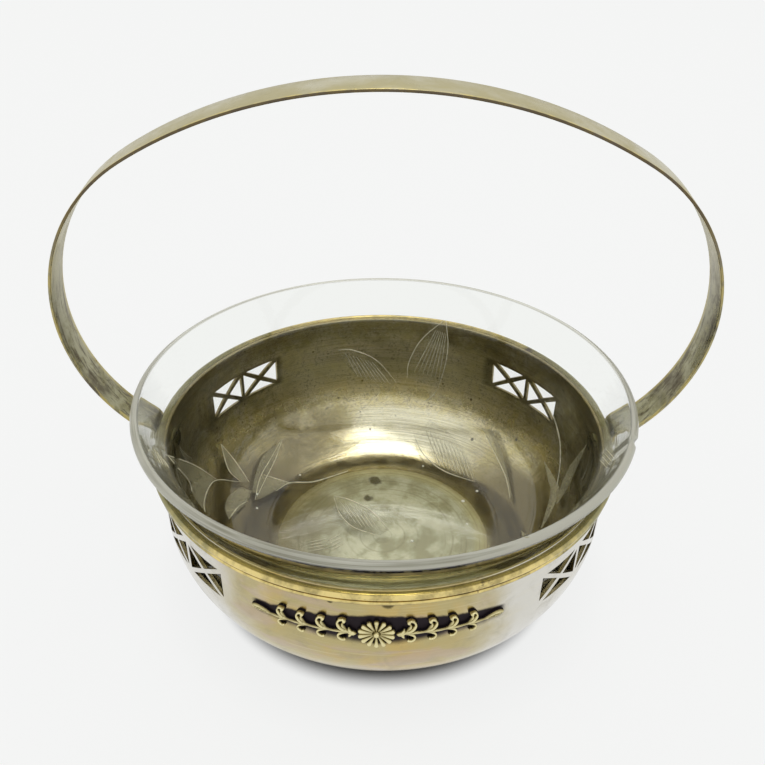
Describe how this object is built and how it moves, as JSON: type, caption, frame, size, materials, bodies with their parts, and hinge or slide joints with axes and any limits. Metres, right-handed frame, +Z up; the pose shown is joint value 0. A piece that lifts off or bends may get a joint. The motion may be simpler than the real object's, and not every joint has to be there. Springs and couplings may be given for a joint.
{
  "type": "sugar basket",
  "caption": "Plated brass sugar basket with pierced panels, a swing handle and a lift-out engraved glass liner.",
  "frame": {"origin": "middle of the bowl's flat base, on the table", "axes": "+Z up; +X along the handle's pivot line, to the right of the pictured front; -Y is the front"},
  "size_m": [0.1412, 0.1158, 0.1204],
  "materials": {
    "worn_silver_plate": "satin",
    "bare_brass": "satin",
    "clear_glass": "polished"
  },
  "bodies": {
    "basket": {"bowl_shell": "worn_silver_plate", "rim_wire": "bare_brass", "front_garland": "bare_brass", "back_garland": "bare_brass", "left_spacer": "bare_brass", "right_spacer": "bare_brass", "left_rivet": "bare_brass", "right_rivet": "bare_brass"},
    "handle": {"handle_strap": "worn_silver_plate"},
    "liner": {"glass_liner": "clear_glass"}
  },
  "joints": [
    {"name": "handle_swing", "type": "hinge", "parent": "basket", "child": "handle", "pos_m": [0, 0, 0.034], "axis": [1, 0, 0], "range_deg": [-114, 102]},
    {"name": "liner_lift", "type": "slide", "parent": "basket", "child": "liner", "axis": [0, 0, 1], "range_m": [0, 0.042]}
  ]
}
